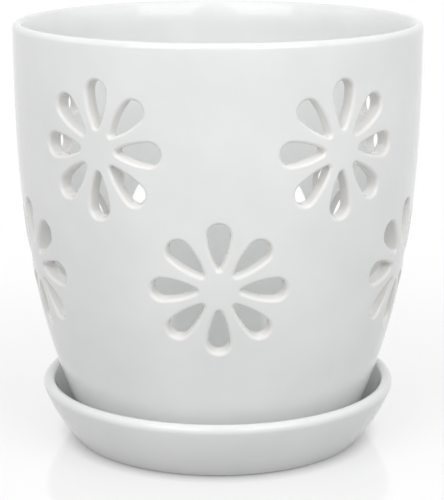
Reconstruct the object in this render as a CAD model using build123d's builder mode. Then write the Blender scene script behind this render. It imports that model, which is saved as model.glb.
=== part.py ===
"""Ventilated orchid pot on its own saucer, both of glazed stoneware.

The pot is a bowed, open-topped wall pierced by ten flowers in two staggered rows,
eight teardrop slots to a flower, with one drain hole in its raised floor.
It stands on a foot ring, loose, on the flat floor of the saucer.
Each round of the sections and each petal is laid out as true arcs, then chorded,
so that eighty slots in a curved wall keep a light mesh.
The origin is the middle of the saucer's underside, with +Z up and the front at -Y.
Lengths are in millimetres, and bearings, turns and leans in degrees.
"""
from build123d import *
from math import atan, cos, hypot, radians, sin, sqrt
import os

# Saucer
saucer_height = 24.2
saucer_floor = 5.0
saucer_wall = 4.8
saucer_rim_lean = 21.0
saucer_cove = 1.5
saucer_base_chamfer = 0.8
saucer_base_ring = 8.0
saucer_recess = 1.5
saucer_rim_shares = (0.0, 0.2, 0.41, 0.617, 0.81, 1.0)
saucer_flank_shares = (0.28, 0.55, 0.8)
saucer_well_shares = (0.25, 0.55)
saucer_cove_share = 0.9

# Pot wall and lip
foot_radius = 54.5
rim_radius = 80.0
wall_height = 160.0
pot_wall = 5.5
lip_round = 2.3
wall_bow_share = 0.35
outer_band_shares = (0.145, 0.3, 0.475, 0.675)
inner_band_shares = (0.16, 0.35, 0.6)
outer_lip_shares = (0.0, 0.5, 1.0)
inner_lip_shares = (0.35, 0.7, 1.0)

# Pot foot and floor
pot_floor = 6.0
foot_recess = 2.0
foot_ring = 7.0
foot_chamfer = 1.2
inside_cove = 7.0
cove_step = 2.0
drain_hole_radius = 8.0

# Room between the pot and its saucer
foot_clearance = 1.9
rim_clearance = 4.9
saucer_base_margin = 3.7

# Flowers: a petal is a teardrop slot, and a flower is a ring of petals with one straight up
petal_count = 8
petal_length = 17.4
petal_width = 8.4
petal_tip_radius = 1.0
petal_side_radius = 30.0
petal_end_shares = (0.0, 0.2, 0.4, 0.6, 0.8, 1.0)
petal_side_share = 0.45
flower_eye_radius = 8.0
cut_overrun = 4.0

# Flower rows, cut by hand: bearing of each eye from the front, and its share of the wall height
lower_row_bearings = (0.3, 69.0, 142.0, 217.5, 291.0)
lower_row_shares = (0.452, 0.447, 0.4125, 0.4125, 0.447)
upper_row_bearings = (-33.3, 34.6, 109.0, 180.0, 250.5)
upper_row_shares = (0.765, 0.765, 0.765, 0.726, 0.765)


def wall_radius(height):
    """Outer radius of the pot's wall at a height above its foot."""
    still_to_climb = 1 - height / wall_height
    return rim_radius - (rim_radius - foot_radius) * still_to_climb ** (1 / wall_bow_share)


def wall_slope(height):
    """How fast the wall's radius grows with height, which fades to nothing at the lip."""
    still_to_climb = 1 - height / wall_height
    foot_slope = (rim_radius - foot_radius) / wall_height / wall_bow_share
    return foot_slope * still_to_climb ** (1 / wall_bow_share - 1)


def inner_radius(height):
    """Inner radius of the wall, one wall thickness in, square to the leaning wall."""
    return wall_radius(height) - pot_wall * hypot(1, wall_slope(height))


def section_plane(base_height):
    """Upright plane from the axis to the back, its origin on the axis at a height."""
    return Plane(origin=(0, 0, base_height), x_dir=(0, 1, 0), z_dir=(1, 0, 0))


def chords(curve, shares):
    """Points at shares of a curve's length, for a polyline to join."""
    return [curve @ share for share in shares]


# Saucer: a flared dish whose rim stands a set way off the pot's wall
saucer_rim_round = saucer_wall / 2
saucer_rim_level = saucer_height - saucer_rim_round
pot_radius_at_rim = wall_radius(saucer_rim_level - saucer_floor)
saucer_rim_radius = pot_radius_at_rim + rim_clearance + saucer_rim_round
saucer_base_radius = foot_radius + saucer_base_margin
saucer_floor_radius = foot_radius + foot_clearance
base_ring_inside = saucer_base_radius - saucer_base_ring

with BuildPart() as saucer:
    with BuildSketch(section_plane(0)):
        with BuildLine():
            rim_centre = (saucer_rim_radius, saucer_rim_level)
            rim = CenterArc(
                rim_centre, saucer_rim_round, -saucer_rim_lean, 180, mode=Mode.PRIVATE
            )
            base_edge = (saucer_base_radius, 0)
            floor_edge = (saucer_floor_radius, saucer_floor)
            flank = TangentArc(rim @ 0, base_edge, tangent=-(rim % 0), mode=Mode.PRIVATE)
            well = TangentArc(rim @ 1, floor_edge, tangent=rim % 1, mode=Mode.PRIVATE)
            Polyline(
                (saucer_base_radius - saucer_base_chamfer, 0),
                (saucer_base_radius + saucer_base_chamfer, saucer_base_chamfer),
                *reversed(chords(flank, saucer_flank_shares)),
                *chords(rim, saucer_rim_shares),
                *chords(well, saucer_well_shares),
                well @ saucer_cove_share,
                (saucer_floor_radius - saucer_cove, saucer_floor),
                (0, saucer_floor),
                (0, saucer_recess),
                (base_ring_inside, saucer_recess),
                (base_ring_inside, 0),
                close=True,
            )
        make_face()
    revolve(axis=Axis.Z)

# Pot wall: corners up the outside and down the inside, as radius and height above the foot
inner_floor = foot_recess + pot_floor
foot_ring_inside = foot_radius - foot_ring
cove_top = inner_floor + inside_cove
lip_inner_round = pot_wall - lip_round
lip_crest_radius = rim_radius - lip_round
lip_inner_level = wall_height + lip_round - lip_inner_round
inner_climb = lip_inner_level - cove_top
outer_levels = [share * wall_height for share in outer_band_shares]
inner_levels = [cove_top + share * inner_climb for share in inner_band_shares]
outer_corners = [(wall_radius(level), level) for level in (foot_chamfer, *outer_levels)]
inner_corners = [(inner_radius(level), level) for level in (cove_top, *inner_levels)]

# Petal outline: a wide round end and a narrow round tip, joined by two bowed sides
petal_end_radius = petal_width / 2
end_y = petal_length / 2 - petal_end_radius
tip_y = petal_tip_radius - petal_length / 2
end_reach = petal_side_radius - petal_end_radius
tip_reach = petal_side_radius - petal_tip_radius
side_y = (tip_reach**2 - end_reach**2 + end_y**2 - tip_y**2) / (2 * (end_y - tip_y))
side_x = -sqrt(end_reach**2 - (end_y - side_y) ** 2)
side_centre = Vector(side_x, side_y)
shoulder = side_centre + (Vector(0, end_y) - side_centre) * petal_side_radius / end_reach
nip = side_centre + (Vector(0, tip_y) - side_centre) * petal_side_radius / tip_reach
petal_middle = flower_eye_radius + petal_length / 2


def petal_plane(bearing, eye_height, turn):
    """Plane on the wall at a petal's middle, facing out, with y pointing away from the eye."""
    climb = petal_middle * cos(radians(turn)) * cos(atan(wall_slope(eye_height)))
    side_step = petal_middle * sin(radians(turn))
    height = eye_height + climb
    heading = radians(bearing) + side_step / wall_radius(eye_height)
    lean = atan(wall_slope(height))
    outward = Vector(sin(heading), -cos(heading), 0)
    sideways = Vector(cos(heading), sin(heading), 0)
    uphill = outward * sin(lean) + Vector(0, 0, 1) * cos(lean)
    across = sideways * cos(radians(turn)) - uphill * sin(radians(turn))
    spot = outward * wall_radius(height) + Vector(0, 0, saucer_floor + height)
    return Plane(origin=spot, x_dir=across, z_dir=sideways.cross(uphill))


flowers = [
    *zip(lower_row_bearings, lower_row_shares),
    *zip(upper_row_bearings, upper_row_shares),
]
petal_planes = [
    petal_plane(bearing, eye_share * wall_height, petal * 360 / petal_count)
    for bearing, eye_share in flowers
    for petal in range(petal_count)
]

# Pot: the wall, lip, floor and foot ring in one revolve, then the flowers cut through it
with BuildPart() as pot:
    with BuildSketch(section_plane(saucer_floor)):
        with BuildLine():
            outer_lip = CenterArc(
                (lip_crest_radius, wall_height), lip_round, 0, 90, mode=Mode.PRIVATE
            )
            inner_lip = CenterArc(
                (lip_crest_radius, lip_inner_level), lip_inner_round, 90, 90, mode=Mode.PRIVATE
            )
            Polyline(
                (foot_radius - foot_chamfer, 0),
                *outer_corners,
                *chords(outer_lip, outer_lip_shares),
                *chords(inner_lip, inner_lip_shares),
                *reversed(inner_corners),
                (inner_radius(inner_floor) - cove_step, inner_floor + cove_step),
                (inner_radius(inner_floor) - inside_cove, inner_floor),
                (drain_hole_radius, inner_floor),
                (drain_hole_radius, foot_recess),
                (foot_ring_inside, foot_recess),
                (foot_ring_inside, 0),
                close=True,
            )
        make_face()
    revolve(axis=Axis.Z)
    with BuildSketch(*petal_planes):
        with BuildLine():
            wide_end = ThreePointArc(
                (-shoulder.X, shoulder.Y), (0, petal_length / 2), shoulder, mode=Mode.PRIVATE
            )
            side = RadiusArc(shoulder, nip, petal_side_radius, mode=Mode.PRIVATE)
            bow = side @ petal_side_share
            Polyline(
                *chords(wide_end, petal_end_shares),
                bow,
                nip,
                (-nip.X, nip.Y),
                (-bow.X, bow.Y),
                close=True,
            )
        make_face()
    extrude(amount=pot_wall + cut_overrun, both=True, mode=Mode.SUBTRACT)

saucer.part.label = "saucer"
pot.part.label = "pot"

os.makedirs("parts", exist_ok=True)
export_step(saucer.part, "parts/saucer.step")
export_step(pot.part, "parts/pot.step")
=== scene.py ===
"""White glazed orchid pot with flower slots, on its drip saucer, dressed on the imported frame.

Lengths are in metres and angles in radians. +Z runs up the common axis, the front is at -Y,
and a bearing is counted round the axis from the front. A section is a list of points, each
a radius and a height. The pierced wall is laid out flat first, as bearing, height over the
foot and depth under the outer face, and is then wrapped round the axis.
"""

import math
from types import SimpleNamespace

import bmesh
import bpy
from bpy.props import FloatProperty, FloatVectorProperty, IntProperty, PointerProperty
from bpy.types import Operator, Panel, PropertyGroup
from mathutils import Matrix, Vector
from mathutils.geometry import delaunay_2d_cdt


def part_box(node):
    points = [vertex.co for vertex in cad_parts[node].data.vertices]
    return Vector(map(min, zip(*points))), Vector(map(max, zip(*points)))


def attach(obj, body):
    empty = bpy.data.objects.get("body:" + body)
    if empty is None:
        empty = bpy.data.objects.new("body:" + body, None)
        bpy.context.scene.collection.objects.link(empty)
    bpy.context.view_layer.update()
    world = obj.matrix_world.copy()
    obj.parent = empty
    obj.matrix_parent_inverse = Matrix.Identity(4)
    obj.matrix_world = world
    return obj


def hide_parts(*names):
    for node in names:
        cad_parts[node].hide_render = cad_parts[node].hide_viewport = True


bl_info = {
    "name": "Orchid Pot",
    "version": (1, 0, 0),
    "blender": (4, 5, 0),
    "location": "View3D > Sidebar > Orchid Pot",
    "description": "Pierced orchid pot and drip saucer in white glaze",
    "category": "Add Mesh",
}

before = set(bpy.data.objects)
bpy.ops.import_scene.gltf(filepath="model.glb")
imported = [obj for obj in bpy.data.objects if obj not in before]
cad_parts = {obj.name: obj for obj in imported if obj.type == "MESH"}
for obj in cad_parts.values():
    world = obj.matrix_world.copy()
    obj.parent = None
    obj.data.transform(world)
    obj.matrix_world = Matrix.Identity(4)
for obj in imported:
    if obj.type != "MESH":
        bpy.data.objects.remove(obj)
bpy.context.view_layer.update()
POT_LOW, POT_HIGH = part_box("pot")
SAUCER_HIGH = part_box("saucer")[1]

MM = 0.001

# Columns round the axis, rows up the pierced wall, and the room that its grid keeps from a slot
TURN_STEPS = 240
COLUMN = 2 * math.pi / TURN_STEPS
GRID_ROW = 2.3 * MM
GRID_MARGIN = 0.8 * MM

# Columns where the mesh's seam passes between the flowers of the lower and of the upper row,
# and how many columns the grid keeps from it
SEAM_LOW_COLUMN = 71
SEAM_HIGH_COLUMN = 48
SEAM_GAP = 0.5

# How the flat wall is cut into triangles: only inside its border, and how close points may lie
INSIDE_BORDER = 1
FLAT_GAP = 1e-9

# Layers of the pot's points: the skin a point lies on, the petal whose slot it lines, its height
# before the wall is wrapped, how thin its glaze is, and the way it faces from its petal
POINT_LAYERS = {
    "skin": "int",
    "petal": "int",
    "level": "float",
    "mouth": "float",
    "facing": "float",
}

# Skins of the pot, where the first is all but the wall's two faces, and the number of no petal
ELSEWHERE, OUTER_FACE, INNER_FACE = range(3)
NO_PETAL = 0

# Steps down one side of a petal's outline: its wide end, its side and its tip
PETAL_END_STEPS = 9
PETAL_SIDE_STEPS = 7
PETAL_TIP_STEPS = 4

# Steps of a slot's two rounded mouths, and how thin the glaze is between them
OUTER_MOUTH_STEPS = 5
INNER_MOUTH_STEPS = 3
THROAT_THINNESS = 0.4

# Steps of the wall under the lip, of the lip's outer round, and of its long inner round
LIP_RISE_STEPS = 4
LIP_OUTER_STEPS = 8
LIP_INNER_STEPS = 16

# Steps of the wall above the foot outside, and its levels inside as shares of the same height
FOOT_STEPS = 6
FOOT_INNER_SHARES = (0.62, 0.75, 0.88, 1)

# Steps of the saucer's rim, side and well, and the points of side and well that are left out
# next to the ground and the floor, to make room for the rounds there
SAUCER_RIM_STEPS = 16
SAUCER_SIDE_STEPS = 18
SAUCER_WELL_STEPS = 16
SIDE_POINTS_OUT = 2
WELL_POINTS_OUT = 3

# Rounds of corners, each as far as it reaches along the sides of its corner
ROUND_STEPS = 6
EDGE_ROUND = 1.2 * MM
RING_ROUND = 0.8 * MM
DRAIN_LOW_ROUND = 0.5 * MM
DRAIN_HIGH_ROUND = 1.4 * MM
COVE_REACH = 0.667
SAUCER_COVE_ROUND = 2.2 * MM

# Points closer than this are one point
MERGE_GAP = 0.002 * MM

# Sockets of a Mix node, which has a set of its own for each kind of value
MIX_VALUE_A, MIX_VALUE_B = 2, 3
MIX_COLOUR_A, MIX_COLOUR_B, MIX_COLOUR_RESULT = 6, 7, 2

# Patterns of the glaze, as how many to a metre, and where their colour ramps start and end
POOL_SCALE = 28
POOL_RAMP = (0.35, 0.75)
SPECK_SCALE = 55
SPECK_RAMP = (0.016, 0.024)
SPECK_PATCH_SCALE = 90
SPECK_PATCH_RAMP = (0.62, 0.64)
RIPPLE_SCALE = 32
PEEL_SCALE = 420
CLAY_GRAIN_SCALE = 1500

# Roughness of the glaze where it lies even and where it pools, as shares of its own roughness
EVEN_SHARE = 0.8
POOLED_SHARE = 1.3

# Bare clay: its roughness, the depth of its grain, and how high over a foot's underside it shows
CLAY_ROUGHNESS = 0.85
CLAY_GRAIN = 0.08 * MM
CLAY_LEVEL = 0.35 * MM

# Gloss of glaze and floor
GLOSS_IOR = 1.5
FLOOR_ROUGHNESS = 0.1

# The floor's own light, where it is shown: weak inside a ring at the saucer's foot, which paints
# a darker contact shadow there, stronger outside it, and plain white further off, with distances
# from the axis
PAINTED_SHADOW_START = 57.5 * MM
PAINTED_SHADOW_END = 67 * MM
LIGHT_IN_PAINTED_SHADOW = 0.2
LIGHT_OUTSIDE_PAINTED_SHADOW = 0.44
WHITE_START = 140 * MM
WHITE_END = 400 * MM
WHITE = (1, 1, 1, 1)

# Lamps, as place and size, and the point in the pot that all of them face
LAMP_TARGET = Vector((0, 0, 0.1))
TOP_LAMP = ((0, -0.1, 1.2), (0.9, 0.9))
BACK_LAMP = ((0, 1.1, 0.9), (1.0, 0.7))
LEFT_LAMP = ((-1, -0.1, 0.7), (0.9, 0.5))
RIGHT_LAMP = ((1, -0.1, 0.7), (0.9, 0.5))

# Softboxes, a metre from a point up the axis: their size, that point's height, and the way
# they stand from it
SOFTBOX_SIZE = (0.66, 0.75)
SOFTBOX_LEVEL = 0.16
SOFTBOX_RISE = math.radians(33)
LEFT_SOFTBOX_BEARING = math.radians(-31.5)
RIGHT_SOFTBOX_BEARING = math.radians(35.5)

# Width of the camera's sensor in millimetres, which its lens is given for
SENSOR_WIDTH = 36


class PotSizes(PropertyGroup):
    """Sizes of the pierced pot, which stands on the saucer's floor."""

    foot_radius: FloatProperty(
        name="Foot radius",
        description="Radius of the wall at the foot",
        default=54.5 * MM,
        unit="LENGTH",
    )
    rim_radius: FloatProperty(
        name="Rim radius",
        description="Outer radius of the wall at the lip",
        default=min(POT_HIGH.x, POT_HIGH.y, -POT_LOW.x, -POT_LOW.y),
        unit="LENGTH",
    )
    wall_height: FloatProperty(
        name="Wall height",
        description="Height of the wall from the foot to the lip's round",
        default=160 * MM,
        unit="LENGTH",
    )
    wall_bow: FloatProperty(
        name="Wall bow",
        description="Share that sets how early the wall turns upright",
        default=0.35,
    )
    wall: FloatProperty(
        name="Wall", description="Thickness of the wall", default=5.5 * MM, unit="LENGTH"
    )
    lip_round: FloatProperty(
        name="Lip round",
        description="Radius of the lip's outer edge",
        default=2.3 * MM,
        unit="LENGTH",
    )
    floor: FloatProperty(
        name="Floor", description="Thickness of the raised floor", default=6 * MM, unit="LENGTH"
    )
    recess: FloatProperty(
        name="Recess",
        description="Height of the floor's underside over the foot",
        default=2 * MM,
        unit="LENGTH",
    )
    foot_ring: FloatProperty(
        name="Foot ring",
        description="Width of the ring the pot stands on",
        default=7 * MM,
        unit="LENGTH",
    )
    drain_radius: FloatProperty(
        name="Drain hole",
        description="Radius of the hole in the floor",
        default=8 * MM,
        unit="LENGTH",
    )
    cove: FloatProperty(
        name="Cove",
        description="Radius of the round between the inner wall and the floor",
        default=8 * MM,
        unit="LENGTH",
    )


class FlowerSizes(PropertyGroup):
    """Sizes and places of the flowers that are cut through the wall."""

    petals: IntProperty(name="Petals", description="Petals round one flower", default=8, min=3)
    length: FloatProperty(
        name="Petal length", description="Length of a petal slot", default=17.4 * MM, unit="LENGTH"
    )
    width: FloatProperty(
        name="Petal width",
        description="Widest part of a petal slot",
        default=8.4 * MM,
        unit="LENGTH",
    )
    tip_radius: FloatProperty(
        name="Petal tip", description="Radius of the narrow end", default=1 * MM, unit="LENGTH"
    )
    side_radius: FloatProperty(
        name="Petal side", description="Radius of the bowed sides", default=30 * MM, unit="LENGTH"
    )
    eye_radius: FloatProperty(
        name="Eye",
        description="Radius of the flower's solid middle",
        default=8 * MM,
        unit="LENGTH",
    )
    outer_mouth: FloatProperty(
        name="Outer mouth",
        description="Round of a slot's outer edge",
        default=1.4 * MM,
        unit="LENGTH",
    )
    inner_mouth: FloatProperty(
        name="Inner mouth",
        description="Round of a slot's inner edge",
        default=0.5 * MM,
        unit="LENGTH",
    )
    lower_heights: FloatVectorProperty(
        name="Lower heights",
        description="Height of each lower flower's eye over the foot",
        default=[height * MM for height in (72.3, 71.5, 66, 66, 71.5)],
        size=5,
        unit="LENGTH",
    )
    lower_bearings: FloatVectorProperty(
        name="Lower bearings",
        description="Bearing of each lower flower, counted from the front",
        default=[math.radians(bearing) for bearing in (0.3, 69, 142, 217.5, 291)],
        size=5,
        unit="ROTATION",
    )
    upper_heights: FloatVectorProperty(
        name="Upper heights",
        description="Height of each upper flower's eye over the foot",
        default=[height * MM for height in (122.4, 122.4, 122.4, 116.2, 122.4)],
        size=5,
        unit="LENGTH",
    )
    upper_bearings: FloatVectorProperty(
        name="Upper bearings",
        description="Bearing of each upper flower, counted from the front",
        default=[math.radians(bearing) for bearing in (-33.3, 34.6, 109, 180, 250.5)],
        size=5,
        unit="ROTATION",
    )


class SaucerSizes(PropertyGroup):
    """Sizes of the drip saucer, which stands on the ground."""

    height: FloatProperty(
        name="Height",
        description="Height of the rim's crest",
        default=SAUCER_HIGH.z,
        unit="LENGTH",
    )
    radius: FloatProperty(
        name="Radius",
        description="Radius over the rim",
        default=max(SAUCER_HIGH.x, SAUCER_HIGH.y),
        unit="LENGTH",
    )
    floor: FloatProperty(
        name="Floor",
        description="Level of the floor, where the pot stands",
        default=POT_LOW.z,
        unit="LENGTH",
    )
    wall: FloatProperty(
        name="Wall", description="Thickness of the rim", default=4.8 * MM, unit="LENGTH"
    )
    rim_lean: FloatProperty(
        name="Rim lean",
        description="How far the side leans out at the rim",
        default=math.radians(21),
        unit="ROTATION",
    )
    base_radius: FloatProperty(
        name="Base radius",
        description="Radius where the side meets the ground",
        default=58.2 * MM,
        unit="LENGTH",
    )
    floor_radius: FloatProperty(
        name="Floor radius",
        description="Radius of the flat floor",
        default=56.4 * MM,
        unit="LENGTH",
    )
    base_ring: FloatProperty(
        name="Base ring",
        description="Width of the ring it stands on",
        default=8 * MM,
        unit="LENGTH",
    )
    recess: FloatProperty(
        name="Recess",
        description="Height of the hollow underside",
        default=1.5 * MM,
        unit="LENGTH",
    )


class GlazeLook(PropertyGroup):
    """Colours and finish of the white glaze and of the bare clay under the feet."""

    white: FloatVectorProperty(
        name="White",
        description="Glaze where it lies even",
        default=(0.922, 0.932, 0.926),
        size=3,
        subtype="COLOR",
    )
    shade: FloatVectorProperty(
        name="Shade",
        description="Glaze where it pools",
        default=(0.866, 0.882, 0.876),
        size=3,
        subtype="COLOR",
    )
    thin: FloatVectorProperty(
        name="Thin",
        description="Glaze where it thins on an edge",
        default=(0.91, 0.895, 0.875),
        size=3,
        subtype="COLOR",
    )
    speck: FloatVectorProperty(
        name="Speck",
        description="Iron specks in the clay",
        default=(0.23, 0.17, 0.12),
        size=3,
        subtype="COLOR",
    )
    clay: FloatVectorProperty(
        name="Clay",
        description="Bare clay under the feet",
        default=(0.66, 0.61, 0.54),
        size=3,
        subtype="COLOR",
    )
    roughness: FloatProperty(
        name="Roughness",
        description="Roughness of the fired glaze",
        default=0.05,
        subtype="FACTOR",
    )
    ripple: FloatProperty(
        name="Ripple",
        description="Depth of the glaze's slow waves",
        default=0.03 * MM,
        unit="LENGTH",
    )
    peel: FloatProperty(
        name="Peel",
        description="Depth of the glaze's fine texture",
        default=0.002 * MM,
        unit="LENGTH",
    )


class StageLook(PropertyGroup):
    """The floor, lamps and camera around the pot."""

    floor_colour: FloatVectorProperty(
        name="Floor",
        description="Colour of the floor",
        default=(0.5, 0.5, 0.5),
        size=3,
        subtype="COLOR",
    )
    floor_size: FloatProperty(
        name="Floor size", description="Side of the square floor", default=8, unit="LENGTH"
    )
    sky: FloatProperty(
        name="Sky", description="Strength of the even light all round", default=0.43
    )
    top_power: FloatProperty(
        name="Top lamp", description="Power of the lamp above", default=1.2, unit="POWER"
    )
    side_power: FloatProperty(
        name="Softboxes",
        description="Power of each of the two softboxes in front",
        default=3.35,
        unit="POWER",
    )
    flank_power: FloatProperty(
        name="Side lamps",
        description="Power of each of the two lamps at the sides",
        default=0.8,
        unit="POWER",
    )
    back_power: FloatProperty(
        name="Back lamp",
        description="Power of the lamp behind the pot",
        default=0.3,
        unit="POWER",
    )
    camera_distance: FloatProperty(
        name="Camera distance",
        description="From the pot's axis to the camera",
        default=689.8 * MM,
        unit="LENGTH",
    )
    camera_height: FloatProperty(
        name="Camera height",
        description="From the ground to the camera",
        default=240.2 * MM,
        unit="LENGTH",
    )
    camera_pitch: FloatProperty(
        name="Camera pitch",
        description="How far the camera looks down",
        default=math.radians(13.49),
        unit="ROTATION",
    )
    lens: FloatProperty(
        name="Lens", description="Focal length in millimetres", default=126.7
    )
    shift: FloatProperty(
        name="Shift", description="Sideways shift of the frame, as a share of it", default=0.0082
    )


def wall_radius(pot, height):
    """Outer radius of the pot's wall at a height over its foot."""
    still_to_climb = 1 - height / pot.wall_height
    flare = pot.rim_radius - pot.foot_radius
    return pot.rim_radius - flare * still_to_climb ** (1 / pot.wall_bow)


def wall_slope(pot, height):
    """How fast the wall's radius grows with height."""
    still_to_climb = 1 - height / pot.wall_height
    foot_slope = (pot.rim_radius - pot.foot_radius) / pot.wall_height / pot.wall_bow
    return foot_slope * still_to_climb ** (1 / pot.wall_bow - 1)


def wall_section(pot, height, depth=0.0):
    """Radius and height of a point a depth under the wall's outer face."""
    slope = wall_slope(pot, height)
    steep = math.hypot(1, slope)
    return wall_radius(pot, height) - depth / steep, height + depth * slope / steep


def wall_normal(pot, bearing, height):
    """The way the wall's outer face looks."""
    slope = wall_slope(pot, height)
    return Vector((math.sin(bearing), -math.cos(bearing), -slope)).normalized()


def arc(centre, radius, start, stop, steps):
    """Points of an arc of a section, by angle up from outward."""
    angles = [start + (stop - start) * step / steps for step in range(steps + 1)]
    return [
        (centre[0] + radius * math.cos(angle), centre[1] + radius * math.sin(angle))
        for angle in angles
    ]


def leaving_arc(start, heading, end, steps):
    """Points of the arc that leaves a start along a heading and comes to an end."""
    start, end = Vector(start), Vector(end)
    side = Vector((-heading[1], heading[0]))
    centre = start + side * (end - start).length_squared / (2 * side.dot(end - start))
    spoke = start - centre
    sweep = -spoke.angle_signed(end - centre)
    turns = [Matrix.Rotation(sweep * step / steps, 2) for step in range(steps + 1)]
    return [tuple(centre + turn @ spoke) for turn in turns]


def spin_section(mesh, section, base=0.0, rounds=()):
    """Draw a section over a base level, round some corners, spin it and add it to a mesh."""
    ring = bmesh.new()
    wire = [ring.verts.new((0, -radius, base + height)) for radius, height in section]
    for pair in zip(wire, wire[1:]):
        ring.edges.new(pair)
    for corner, size in rounds:
        bmesh.ops.bevel(
            ring,
            geom=[wire[corner]],
            offset=size,
            offset_type="OFFSET",
            segments=ROUND_STEPS,
            profile=0.5,
            affect="VERTICES",
            material=-1,
        )
    bmesh.ops.spin(
        ring,
        geom=[*ring.verts, *ring.edges],
        cent=(0, 0, 0),
        axis=(0, 0, 1),
        dvec=(0, 0, 0),
        angle=2 * math.pi,
        steps=TURN_STEPS,
        use_merge=True,
    )
    data = bpy.data.meshes.new("ring")
    ring.to_mesh(data)
    ring.free()
    mesh.from_mesh(data)
    bpy.data.meshes.remove(data)


def petal_shape(flower):
    """Centres of a petal's side, wide end and tip, and the turns where their rounds meet."""
    end_radius = flower.width / 2
    end = Vector((0, flower.length / 2 - end_radius))
    tip = Vector((0, flower.tip_radius - flower.length / 2))
    end_reach = flower.side_radius - end_radius
    tip_reach = flower.side_radius - flower.tip_radius
    rise = (tip_reach**2 - end_reach**2 + end.y**2 - tip.y**2) / (2 * (end.y - tip.y))
    side = Vector((-math.sqrt(end_reach**2 - (end.y - rise) ** 2), rise))
    shoulder = math.atan2(end.x - side.x, end.y - side.y)
    nip = math.atan2(tip.x - side.x, tip.y - side.y)
    return SimpleNamespace(side=side, end=end, tip=tip, shoulder=shoulder, nip=nip)


def petal_round(flower, shape, turn):
    """Centre and radius of the part of a petal's outline that faces a turn from its wide end."""
    if turn < shape.shoulder:
        return shape.end, flower.width / 2
    if turn > shape.nip:
        return shape.tip, flower.tip_radius
    return shape.side, flower.side_radius


def petal_point(flower, shape, facing, offset):
    """Point of a petal's outline that faces a way, moved outward by an offset."""
    turn = abs(facing)
    centre, radius = petal_round(flower, shape, turn)
    x = centre.x + (radius + offset) * math.sin(turn)
    y = centre.y + (radius + offset) * math.cos(turn)
    return math.copysign(x, facing), y


def petal_gap(flower, shape, x, y):
    """Distance from a point to a petal's outline, less than nothing inside it."""
    point = Vector((abs(x), y))
    turn = math.atan2(point.x - shape.side.x, point.y - shape.side.y)
    centre, radius = petal_round(flower, shape, turn)
    return (point - centre).length - radius


def petal_facings(shape):
    """Ways that the points of a petal's outline face, close together at its round ends."""
    end, side, tip = PETAL_END_STEPS, PETAL_SIDE_STEPS, PETAL_TIP_STEPS
    half = [shape.shoulder * step / end for step in range(end)]
    half += [shape.shoulder + (shape.nip - shape.shoulder) * step / side for step in range(side)]
    half += [shape.nip + (math.pi - shape.nip) * step / tip for step in range(tip + 1)]
    return half[:-1] + [-facing for facing in reversed(half[1:])]


def flower_reach(flower):
    """How far from a flower's eye its slots, their mouths and the grid's room reach."""
    return flower.eye_radius + flower.length + 3 * GRID_MARGIN + flower.outer_mouth


def flower_places(flower):
    """Bearing and height of every flower's eye, with bearings counted on from the seam."""
    rows = (
        (flower.lower_bearings, flower.lower_heights, SEAM_LOW_COLUMN * COLUMN),
        (flower.upper_bearings, flower.upper_heights, SEAM_HIGH_COLUMN * COLUMN),
    )
    return [
        (seam + (bearing - seam) % (2 * math.pi), height)
        for bearings, heights, seam in rows
        for bearing, height in zip(bearings, heights)
    ]


def seam_bearing(flower, height):
    """Bearing of the mesh's seam, which passes between the flowers from row to row."""
    low, high = flower.lower_heights[0], flower.upper_heights[0]
    climb = min(1, max(0, (height - low) / (high - low)))
    return COLUMN * (SEAM_LOW_COLUMN + (SEAM_HIGH_COLUMN - SEAM_LOW_COLUMN) * climb)


def on_wall(pot, eye, side, up):
    """Bearing and height of a point that lies sideways and up from a flower's eye."""
    bearing, height = eye
    spot = height + up * math.cos(math.atan(wall_slope(pot, height + up / 2)))
    return bearing + side / wall_radius(pot, spot), spot


def from_eye(pot, eye, bearing, height):
    """How far sideways and up a point of the wall lies from a flower's eye."""
    up = (height - eye[1]) / math.cos(math.atan(wall_slope(pot, (height + eye[1]) / 2)))
    return (bearing - eye[0]) * wall_radius(pot, height), up


def petal_on_wall(pot, flower, shape, cut, facing, offset):
    """Bearing and height of an outline point of a cut, a petal at a turn round an eye."""
    eye, turn = cut
    x, y = petal_point(flower, shape, facing, offset)
    away = y + flower.eye_radius + flower.length / 2
    side = x * math.cos(turn) + away * math.sin(turn)
    up = away * math.cos(turn) - x * math.sin(turn)
    return on_wall(pot, eye, side, up)


def clear_of_petals(pot, flower, shape, eyes, bearing, height):
    """Whether a point of the wall keeps off every slot and its rounded mouth."""
    keep_off = flower.outer_mouth + GRID_MARGIN
    step = 2 * math.pi / flower.petals
    for eye in eyes:
        side, up = from_eye(pot, eye, bearing, height)
        if math.hypot(side, up) > flower_reach(flower):
            continue
        turn = round(math.atan2(side, up) / step) * step
        x = side * math.cos(turn) - up * math.sin(turn)
        away = side * math.sin(turn) + up * math.cos(turn)
        y = away - flower.eye_radius - flower.length / 2
        if petal_gap(flower, shape, x, y) < keep_off:
            return False
    return True


def closed_loop(first, count):
    """Pairs of neighbours round a closed loop of points, by number."""
    return [(first + index, first + (index + 1) % count) for index in range(count)]


def add_layers(mesh):
    """Add the layers of the pot's points to a mesh, and return them by name."""
    kinds = {name: getattr(mesh.verts.layers, kind) for name, kind in POINT_LAYERS.items()}
    for name, layers in kinds.items():
        layers.new(name)
    return SimpleNamespace(**{name: layers[name] for name, layers in kinds.items()})


def drop_layers(mesh):
    """Remove the layers of the pot's points, but for the mouths' thin glaze, which shows."""
    for name, kind in POINT_LAYERS.items():
        if name != "mouth":
            layers = getattr(mesh.verts.layers, kind)
            layers.remove(layers[name])


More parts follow.
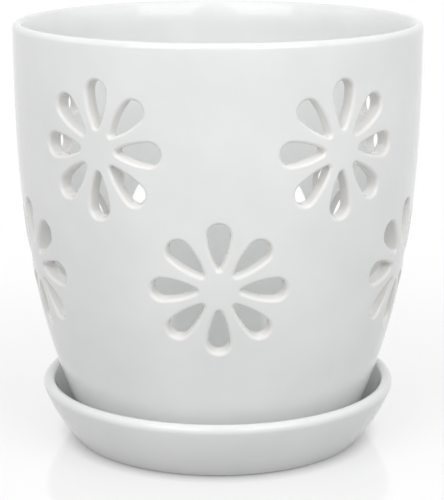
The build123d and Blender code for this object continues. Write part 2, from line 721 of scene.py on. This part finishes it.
def pierced_face(mesh, layer, pot, flower, shape, cuts, low, high):
    """Add the wall's outer face, still flat, as triangles between its slots."""
    rows = round((high - low) / GRID_ROW)
    levels = [low + (high - low) * row / rows for row in range(rows + 1)]
    seam = [(seam_bearing(flower, level), level) for level in levels]
    far_seam = [(bearing + 2 * math.pi, level) for bearing, level in seam]
    bottom = [(COLUMN * (SEAM_LOW_COLUMN + step), low) for step in range(1, TURN_STEPS)]
    top = [(COLUMN * (SEAM_HIGH_COLUMN + step), high) for step in range(1, TURN_STEPS)]
    border = seam[:1] + bottom + far_seam + top[::-1] + seam[:0:-1]
    spots = [(*place, NO_PETAL, 0.0) for place in border]
    edges = closed_loop(0, len(border))
    facings = petal_facings(shape)
    for number, cut in enumerate(cuts, start=1):
        edges += closed_loop(len(spots), len(facings))
        for facing in facings:
            place = petal_on_wall(pot, flower, shape, cut, facing, flower.outer_mouth)
            spots.append((*place, number, facing))
    eyes = flower_places(flower)
    for level in levels[1:-1]:
        start = seam_bearing(flower, level) / COLUMN
        first = math.ceil(start + SEAM_GAP)
        last = math.floor(start - SEAM_GAP) + TURN_STEPS
        for column in range(first, last + 1):
            if clear_of_petals(pot, flower, shape, eyes, column * COLUMN, level):
                spots.append((column * COLUMN, level, NO_PETAL, 0.0))

    flat = [(bearing * pot.rim_radius, level) for bearing, level, *_ in spots]
    triangles, origins = delaunay_2d_cdt(flat, edges, [], INSIDE_BORDER, FLAT_GAP)[2:4]
    verts = []
    for sources in origins:
        bearing, level, number, facing = spots[sources[0]]
        vert = mesh.verts.new((bearing, level, 0))
        vert[layer.skin] = OUTER_FACE
        vert[layer.petal] = number
        vert[layer.facing] = facing
        verts.append(vert)
    for triangle in triangles:
        corners = [verts[corner] for corner in triangle]
        numbers = {vert[layer.petal] for vert in corners}
        # A triangle with all its corners on one petal fills part of that slot
        if len(numbers) > 1 or NO_PETAL in numbers:
            mesh.faces.new(corners)


def slot_rings(pot, flower):
    """Offset, depth and thinness of glaze at each ring of a slot, from the outer face in."""
    rings = []
    size = flower.outer_mouth
    for step in range(1, OUTER_MOUTH_STEPS + 1):
        angle = math.pi / 2 * step / OUTER_MOUTH_STEPS
        inward, thinness = size * math.sin(angle), math.sin(angle)
        rings.append((size - inward, size - size * math.cos(angle), thinness))
    rings.append((0, pot.wall / 2, THROAT_THINNESS))
    size = flower.inner_mouth
    for step in range(INNER_MOUTH_STEPS, -1, -1):
        angle = math.pi / 2 * step / INNER_MOUTH_STEPS
        inward, thinness = size * math.sin(angle), math.sin(angle)
        rings.append((size - inward, pot.wall - size + size * math.cos(angle), thinness))
    return rings


def of_kind(parts, kind):
    """Those of a mesh's parts that are of one kind."""
    return [part for part in parts if isinstance(part, kind)]


def cut_slots(mesh, layer, pot, flower, shape, cuts):
    """Add the wall's inner face, still flat, and the slots' throats from the outer face to it."""

    def settle(vert, offset, depth):
        """Put a slot's point at an offset from its outline and a depth in the wall."""
        cut = cuts[vert[layer.petal] - 1]
        place = petal_on_wall(pot, flower, shape, cut, vert[layer.facing], offset)
        vert.co = (*place, depth)

    mouths = [
        edge
        for edge in mesh.edges
        if edge.is_boundary and all(vert[layer.petal] for vert in edge.verts)
    ]
    inner = bmesh.ops.duplicate(mesh, geom=[*mesh.verts, *mesh.edges, *mesh.faces])["geom"]
    for vert in of_kind(inner, bmesh.types.BMVert):
        vert[layer.skin] = INNER_FACE
        vert.co.z = pot.wall
        if vert[layer.petal]:
            settle(vert, flower.inner_mouth, pot.wall)
    for offset, depth, thinness in slot_rings(pot, flower):
        made = bmesh.ops.extrude_edge_only(mesh, edges=mouths)["geom"]
        fresh = set(of_kind(made, bmesh.types.BMVert))
        for vert in fresh:
            vert[layer.skin] = INNER_FACE if depth > pot.wall - MERGE_GAP else ELSEWHERE
            vert[layer.mouth] = thinness
            settle(vert, offset, depth)
        mouths = [
            edge for edge in of_kind(made, bmesh.types.BMEdge) if fresh.issuperset(edge.verts)
        ]


def wrap_wall(mesh, layer, pot, base):
    """Wrap the flat wall round the axis over a base level, and note each point's height."""
    for vert in mesh.verts:
        bearing, height, depth = vert.co
        radius, rise = wall_section(pot, height, depth)
        vert[layer.level] = height
        vert.co = (radius * math.sin(bearing), -radius * math.cos(bearing), base + rise)


def lip_section(pot, high):
    """Section from the pierced wall's outer face, over the lip, down to its inner face."""
    crest = pot.rim_radius - pot.lip_round
    climb = pot.wall_height - high
    levels = [high + climb * step / LIP_RISE_STEPS for step in range(LIP_RISE_STEPS)]
    section = [wall_section(pot, level) for level in levels]
    section += arc((crest, pot.wall_height), pot.lip_round, 0, math.pi / 2, LIP_OUTER_STEPS)
    width = pot.wall - pot.lip_round
    fall = pot.wall_height + pot.lip_round - high
    for step in range(1, LIP_INNER_STEPS):
        angle = math.pi / 2 * step / LIP_INNER_STEPS
        section.append((crest - width * math.sin(angle), high + fall * math.cos(angle)))
    section.append(wall_section(pot, high, pot.wall))
    return section


def foot_section(pot, low):
    """Section from the pierced wall's outer face, under the foot, up to its inner face."""
    floor = pot.recess + pot.floor
    ring_inside = pot.foot_radius - pot.foot_ring
    levels = [low * step / FOOT_STEPS for step in range(FOOT_STEPS, 0, -1)]
    section = [wall_section(pot, level) for level in levels]
    foot = len(section)
    section += [
        (pot.foot_radius, 0),
        (ring_inside, 0),
        (ring_inside, pot.recess),
        (pot.drain_radius, pot.recess),
        (pot.drain_radius, floor),
        (wall_radius(pot, floor) - pot.wall * math.hypot(1, wall_slope(pot, floor)), floor),
    ]
    section += [wall_section(pot, low * share, pot.wall) for share in FOOT_INNER_SHARES]
    sizes = (
        EDGE_ROUND,
        RING_ROUND,
        RING_ROUND,
        DRAIN_LOW_ROUND,
        DRAIN_HIGH_ROUND,
        pot.cove * COVE_REACH,
    )
    return section, tuple(enumerate(sizes, start=foot))


def face_normals(mesh, layer, pot):
    """True normals of the bowed wall on its two faces, and none where the mesh gives its own."""
    normals = []
    for vert in mesh.verts:
        normal = Vector((0, 0, 0))
        if vert[layer.skin] != ELSEWHERE:
            bearing = math.atan2(vert.co.x, -vert.co.y)
            normal = wall_normal(pot, bearing, vert[layer.level])
        normals.append(-normal if vert[layer.skin] == INNER_FACE else normal)
    return normals


def close_mesh(mesh, name):
    """Merge doubled points, turn every face outwards, and stop if an edge is left open."""
    bmesh.ops.remove_doubles(mesh, verts=mesh.verts, dist=MERGE_GAP)
    bmesh.ops.recalc_face_normals(mesh, faces=mesh.faces)
    faults = [edge for edge in mesh.edges if not edge.is_manifold]
    if faults:
        place = faults[0].verts[0].co[:]
        raise RuntimeError(f"{name} has {len(faults)} open edges, the first at {place}")


def smooth_object(name, mesh, material, normals=()):
    """Turn a finished bmesh into a smooth object of one material, at the origin."""
    mesh.normal_update()
    for face in mesh.faces:
        face.smooth = True
    data = bpy.data.meshes.new(name)
    mesh.to_mesh(data)
    mesh.free()
    if normals:
        data.normals_split_custom_set_from_vertices(normals)
    data.materials.append(material)
    piece = bpy.data.objects.new(name, data)
    bpy.context.collection.objects.link(piece)
    return piece


def node(tree, kind, **values):
    """Add a shader node and set its properties, or its sockets by name."""
    made = tree.nodes.new(kind)
    for name, value in values.items():
        if hasattr(made, name):
            setattr(made, name, value)
        else:
            made.inputs[name.replace("_", " ")].default_value = value
    return made


def join(tree, *pairs):
    """Link sockets in pairs, from and to."""
    for start, end in pairs:
        tree.links.new(start, end)


def ramp(tree, low, high):
    """Colour ramp that climbs from black to white between two values."""
    made = tree.nodes.new("ShaderNodeValToRGB")
    made.color_ramp.elements[0].position = low
    made.color_ramp.elements[1].position = high
    return made


def blend_colour(tree, factor, under, over):
    """Mix from one colour to another; each is a socket or a plain colour."""
    made = node(tree, "ShaderNodeMix", data_type="RGBA")
    join(tree, (factor, made.inputs["Factor"]))
    for number, colour in ((MIX_COLOUR_A, under), (MIX_COLOUR_B, over)):
        if isinstance(colour, bpy.types.NodeSocket):
            join(tree, (colour, made.inputs[number]))
        else:
            made.inputs[number].default_value = (*colour, 1)
    return made.outputs[MIX_COLOUR_RESULT]


def glaze_material(name, look, bare_below):
    """White gloss glaze over stoneware, bare under the foot up to a height."""
    material = bpy.data.materials.new(name)
    material.use_nodes = True
    tree = material.node_tree
    shader = tree.nodes["Principled BSDF"]
    shader.inputs["IOR"].default_value = GLOSS_IOR
    spot = tree.nodes.new("ShaderNodeTexCoord").outputs["Object"]

    # Colour: glaze pools and thins, a few specks show through, and the foot is bare clay
    pooling = node(tree, "ShaderNodeTexNoise", Scale=POOL_SCALE, Detail=3, Roughness=0.55)
    pooling_ramp = ramp(tree, *POOL_RAMP)
    mouth = node(tree, "ShaderNodeAttribute", attribute_name="mouth")
    specks = node(tree, "ShaderNodeTexVoronoi", Scale=SPECK_SCALE, Randomness=1)
    speck_ramp = ramp(tree, *SPECK_RAMP)
    patches = node(tree, "ShaderNodeTexNoise", Scale=SPECK_PATCH_SCALE, Detail=1)
    patch_ramp = ramp(tree, *SPECK_PATCH_RAMP)
    speck_mask = node(tree, "ShaderNodeMath", operation="SUBTRACT", use_clamp=True)
    height = tree.nodes.new("ShaderNodeSeparateXYZ")
    bare = node(tree, "ShaderNodeMath", operation="LESS_THAN")
    bare.inputs[1].default_value = bare_below
    grain = node(tree, "ShaderNodeTexNoise", Scale=CLAY_GRAIN_SCALE, Detail=4, Roughness=0.7)
    join(
        tree,
        (spot, pooling.inputs["Vector"]),
        (spot, specks.inputs["Vector"]),
        (spot, patches.inputs["Vector"]),
        (spot, grain.inputs["Vector"]),
        (spot, height.inputs[0]),
        (height.outputs["Z"], bare.inputs[0]),
        (pooling.outputs["Fac"], pooling_ramp.inputs["Fac"]),
        (specks.outputs["Distance"], speck_ramp.inputs["Fac"]),
        (patches.outputs["Fac"], patch_ramp.inputs["Fac"]),
        (patch_ramp.outputs["Color"], speck_mask.inputs[0]),
        (speck_ramp.outputs["Color"], speck_mask.inputs[1]),
    )
    glaze = blend_colour(tree, pooling_ramp.outputs["Color"], look.white, look.shade)
    glaze = blend_colour(tree, mouth.outputs["Fac"], glaze, look.thin)
    glaze = blend_colour(tree, speck_mask.outputs[0], glaze, look.speck)
    colour = blend_colour(tree, bare.outputs[0], glaze, look.clay)
    join(tree, (colour, shader.inputs["Base Color"]))

    # Finish: sheen varies as the glaze pools, over slow ripples, fine peel and grainy clay
    sheen = node(
        tree,
        "ShaderNodeMapRange",
        To_Min=look.roughness * EVEN_SHARE,
        To_Max=look.roughness * POOLED_SHARE,
    )
    finish = node(tree, "ShaderNodeMix", data_type="FLOAT")
    finish.inputs[MIX_VALUE_B].default_value = CLAY_ROUGHNESS
    slow = node(tree, "ShaderNodeTexNoise", Scale=RIPPLE_SCALE, Detail=2, Roughness=0.4)
    fine = node(tree, "ShaderNodeTexNoise", Scale=PEEL_SCALE, Detail=2, Roughness=0.5)
    ripple = node(tree, "ShaderNodeBump", Strength=1, Distance=look.ripple)
    peel = node(tree, "ShaderNodeBump", Strength=1, Distance=look.peel)
    rough_clay = node(tree, "ShaderNodeBump", Distance=CLAY_GRAIN)
    join(
        tree,
        (pooling.outputs["Fac"], sheen.inputs["Value"]),
        (bare.outputs[0], finish.inputs["Factor"]),
        (sheen.outputs[0], finish.inputs[MIX_VALUE_A]),
        (finish.outputs[0], shader.inputs["Roughness"]),
        (spot, slow.inputs["Vector"]),
        (spot, fine.inputs["Vector"]),
        (slow.outputs["Fac"], ripple.inputs["Height"]),
        (fine.outputs["Fac"], peel.inputs["Height"]),
        (grain.outputs["Fac"], rough_clay.inputs["Height"]),
        (bare.outputs[0], rough_clay.inputs["Strength"]),
        (ripple.outputs[0], peel.inputs["Normal"]),
        (peel.outputs[0], rough_clay.inputs["Normal"]),
        (rough_clay.outputs[0], shader.inputs["Normal"]),
    )
    return material


class MESH_OT_pierced_pot(Operator):
    """Pot wall cut with flowers, with its lip, floor and foot ring"""

    bl_idname = "mesh.pierced_pot"
    bl_label = "Pierced Pot"

    def execute(self, context):
        pot = context.scene.orchid_pot
        flower = context.scene.orchid_flower
        base = POT_LOW.z
        low = min(flower.lower_heights) - flower_reach(flower)
        high = max(flower.upper_heights) + flower_reach(flower)
        shape = petal_shape(flower)
        cuts = [
            (eye, 2 * math.pi * petal / flower.petals)
            for eye in flower_places(flower)
            for petal in range(flower.petals)
        ]
        mesh = bmesh.new()
        layer = add_layers(mesh)
        pierced_face(mesh, layer, pot, flower, shape, cuts, low, high)
        cut_slots(mesh, layer, pot, flower, shape, cuts)
        wrap_wall(mesh, layer, pot, base)
        spin_section(mesh, lip_section(pot, high), base)
        foot, foot_rounds = foot_section(pot, low)
        spin_section(mesh, foot, base, foot_rounds)
        close_mesh(mesh, "pot")
        normals = face_normals(mesh, layer, pot)
        drop_layers(mesh)
        glaze = glaze_material("pot_glaze", context.scene.orchid_glaze, base + CLAY_LEVEL)
        piece = smooth_object("glazed_pot", mesh, glaze, normals)
        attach(piece, "pot")
        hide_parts("pot")
        return {"FINISHED"}


class MESH_OT_drip_saucer(Operator):
    """Flared saucer with a thick round rim and a flat floor"""

    bl_idname = "mesh.drip_saucer"
    bl_label = "Drip Saucer"

    def execute(self, context):
        saucer = context.scene.orchid_saucer
        rim_round = saucer.wall / 2
        rim_centre = (saucer.radius - rim_round, saucer.height - rim_round)
        lean = saucer.rim_lean
        rim = arc(rim_centre, rim_round, -lean, math.pi - lean, SAUCER_RIM_STEPS)
        down = -Vector((math.sin(lean), math.cos(lean)))
        base_edge = (saucer.base_radius, 0)
        floor_edge = (saucer.floor_radius, saucer.floor)
        side = leaving_arc(rim[0], down, base_edge, SAUCER_SIDE_STEPS)
        well = leaving_arc(rim[-1], down, floor_edge, SAUCER_WELL_STEPS)
        ring_inside = saucer.base_radius - saucer.base_ring
        section = [
            (0, saucer.recess),
            (ring_inside, saucer.recess),
            (ring_inside, 0),
            side[-1],
            *side[-2 - SIDE_POINTS_OUT : 0 : -1],
            *rim,
            *well[1 : -1 - WELL_POINTS_OUT],
            well[-1],
            (0, saucer.floor),
        ]
        floor_corner = len(section) - 2
        rounds = (
            (1, RING_ROUND),
            (2, RING_ROUND),
            (3, EDGE_ROUND),
            (floor_corner, SAUCER_COVE_ROUND),
        )
        mesh = bmesh.new()
        spin_section(mesh, section, rounds=rounds)
        close_mesh(mesh, "saucer")
        glaze = glaze_material("saucer_glaze", context.scene.orchid_glaze, CLAY_LEVEL)
        piece = smooth_object("glazed_saucer", mesh, glaze)
        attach(piece, "saucer")
        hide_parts("saucer")
        return {"FINISHED"}


def shown_to(tree, *kinds):
    """One for the kinds of ray named, as Light Path calls them, and nothing for the rest."""
    path = tree.nodes.new("ShaderNodeLightPath")
    shown = path.outputs[kinds[0]]
    for kind in kinds[1:]:
        either = node(tree, "ShaderNodeMath", operation="MAXIMUM")
        join(tree, (shown, either.inputs[0]), (path.outputs[kind], either.inputs[1]))
        shown = either.outputs[0]
    return shown


def floor_material(look):
    """Pale floor with a faint sheen, which turns to plain white away from the pot; its own light
    is weaker round the saucer's foot, as a painted shadow.
    """
    material = bpy.data.materials.new("pale_floor")
    material.use_nodes = True
    tree = material.node_tree
    shader = tree.nodes["Principled BSDF"]
    shader.inputs["Base Color"].default_value = (*look.floor_colour, 1)
    shader.inputs["Roughness"].default_value = FLOOR_ROUGHNESS
    shader.inputs["IOR"].default_value = GLOSS_IOR
    spot = tree.nodes.new("ShaderNodeTexCoord")
    away = node(tree, "ShaderNodeVectorMath", operation="LENGTH")
    shown = shown_to(tree, "Is Camera Ray", "Is Glossy Ray", "Is Transmission Ray")

    white = node(tree, "ShaderNodeEmission", Color=WHITE, Strength=1)
    whiteness = node(
        tree,
        "ShaderNodeMapRange",
        interpolation_type="SMOOTHSTEP",
        From_Min=WHITE_START,
        From_Max=WHITE_END,
    )
    white_shown = node(tree, "ShaderNodeMath", operation="MULTIPLY")
    lift = node(tree, "ShaderNodeEmission", Color=WHITE)
    # Weaker light inside the ring at the saucer's foot paints the floor's contact shadow darker
    # there.
    lift_with_painted_shadow = node(
        tree,
        "ShaderNodeMapRange",
        interpolation_type="SMOOTHSTEP",
        From_Min=PAINTED_SHADOW_START,
        From_Max=PAINTED_SHADOW_END,
        To_Min=LIGHT_IN_PAINTED_SHADOW,
        To_Max=LIGHT_OUTSIDE_PAINTED_SHADOW,
    )
    lift_shown = node(tree, "ShaderNodeMath", operation="MULTIPLY")
    lifted = tree.nodes.new("ShaderNodeAddShader")
    mixed = tree.nodes.new("ShaderNodeMixShader")
    join(
        tree,
        (spot.outputs["Object"], away.inputs[0]),
        (away.outputs["Value"], whiteness.inputs["Value"]),
        (whiteness.outputs[0], white_shown.inputs[0]),
        (shown, white_shown.inputs[1]),
        (away.outputs["Value"], lift_with_painted_shadow.inputs["Value"]),
        (shown, lift_shown.inputs[0]),
        (lift_with_painted_shadow.outputs[0], lift_shown.inputs[1]),
        (lift_shown.outputs[0], lift.inputs["Strength"]),
        (shader.outputs[0], lifted.inputs[0]),
        (lift.outputs[0], lifted.inputs[1]),
        (white_shown.outputs[0], mixed.inputs[0]),
        (lifted.outputs[0], mixed.inputs[1]),
        (white.outputs[0], mixed.inputs[2]),
        (mixed.outputs[0], tree.nodes["Material Output"].inputs["Surface"]),
    )
    return material


def pale_world(look):
    """Even soft light all round, which is seen as plain white."""
    world = bpy.data.worlds.new("pale_room")
    world.use_nodes = True
    tree = world.node_tree
    sky = tree.nodes["Background"]
    sky.inputs["Color"].default_value = WHITE
    sky.inputs["Strength"].default_value = look.sky
    white = node(tree, "ShaderNodeBackground", Color=WHITE, Strength=1)
    shown = shown_to(tree, "Is Camera Ray", "Is Glossy Ray", "Is Transmission Ray")
    mixed = tree.nodes.new("ShaderNodeMixShader")
    join(
        tree,
        (shown, mixed.inputs[0]),
        (sky.outputs[0], mixed.inputs[1]),
        (white.outputs[0], mixed.inputs[2]),
        (mixed.outputs[0], tree.nodes["World Output"].inputs["Surface"]),
    )
    return world


def softbox(bearing):
    """Place and size of a softbox that stands at a bearing, in front of the pot."""
    out = math.cos(SOFTBOX_RISE)
    height = SOFTBOX_LEVEL + math.sin(SOFTBOX_RISE)
    return (out * math.sin(bearing), -out * math.cos(bearing), height), SOFTBOX_SIZE


def add_lamp(name, place, size, power):
    """Rectangular area lamp at a place, aimed at the middle of the pot."""
    data = bpy.data.lights.new(name, "AREA")
    data.shape = "RECTANGLE"
    data.size, data.size_y = size
    data.energy = power
    lamp = bpy.data.objects.new(name, data)
    lamp.location = place
    lamp.rotation_euler = (LAMP_TARGET - Vector(place)).to_track_quat("-Z", "Y").to_euler()
    bpy.context.collection.objects.link(lamp)


class SCENE_OT_pot_stage(Operator):
    """Floor, lamps, pale surroundings and the camera"""

    bl_idname = "scene.pot_stage"
    bl_label = "Pot Stage"

    def execute(self, context):
        look = context.scene.orchid_stage
        mesh = bmesh.new()
        bmesh.ops.create_grid(mesh, x_segments=1, y_segments=1, size=look.floor_size / 2)
        data = bpy.data.meshes.new("studio_floor")
        mesh.to_mesh(data)
        mesh.free()
        data.materials.append(floor_material(look))
        ground = bpy.data.objects.new("studio_floor", data)
        context.collection.objects.link(ground)

        context.scene.world = pale_world(look)
        context.scene.view_settings.view_transform = "Standard"
        for name, (place, size), power in (
            ("top_lamp", TOP_LAMP, look.top_power),
            ("left_softbox", softbox(LEFT_SOFTBOX_BEARING), look.side_power),
            ("right_softbox", softbox(RIGHT_SOFTBOX_BEARING), look.side_power),
            ("back_lamp", BACK_LAMP, look.back_power),
            ("left_lamp", LEFT_LAMP, look.flank_power),
            ("right_lamp", RIGHT_LAMP, look.flank_power),
        ):
            add_lamp(name, place, size, power)

        camera = bpy.data.cameras.new("camera")
        camera.lens = look.lens
        camera.sensor_width = SENSOR_WIDTH
        camera.shift_x = look.shift
        eye = bpy.data.objects.new("camera", camera)
        eye.location = (0, -look.camera_distance, look.camera_height)
        eye.rotation_euler = (math.pi / 2 - look.camera_pitch, 0, 0)
        context.collection.objects.link(eye)
        context.scene.camera = eye
        return {"FINISHED"}


class VIEW3D_PT_orchid_pot(Panel):
    """Lists the pieces of the pot and its stage"""

    bl_label = "Orchid Pot"
    bl_space_type = "VIEW_3D"
    bl_region_type = "UI"
    bl_category = "Orchid Pot"

    def draw(self, context):
        column = self.layout.column()
        for piece in PIECES:
            column.operator(piece.bl_idname)


PIECES = (MESH_OT_pierced_pot, MESH_OT_drip_saucer, SCENE_OT_pot_stage)
SETTINGS = {
    "orchid_pot": PotSizes,
    "orchid_flower": FlowerSizes,
    "orchid_saucer": SaucerSizes,
    "orchid_glaze": GlazeLook,
    "orchid_stage": StageLook,
}


def register():
    """Register the settings, the operators and the panel."""
    for settings in SETTINGS.values():
        bpy.utils.register_class(settings)
    for name, settings in SETTINGS.items():
        setattr(bpy.types.Scene, name, PointerProperty(type=settings))
    for kind in (*PIECES, VIEW3D_PT_orchid_pot):
        bpy.utils.register_class(kind)


def unregister():
    """Take away what register added, in reverse order."""
    for kind in (VIEW3D_PT_orchid_pot, *reversed(PIECES)):
        bpy.utils.unregister_class(kind)
    for name in SETTINGS:
        delattr(bpy.types.Scene, name)
    for settings in reversed(SETTINGS.values()):
        bpy.utils.unregister_class(settings)


def main():
    """Make the stage and the two pieces."""
    register()
    bpy.ops.scene.pot_stage()
    bpy.ops.mesh.drip_saucer()
    bpy.ops.mesh.pierced_pot()


if __name__ == "__main__":
    main()
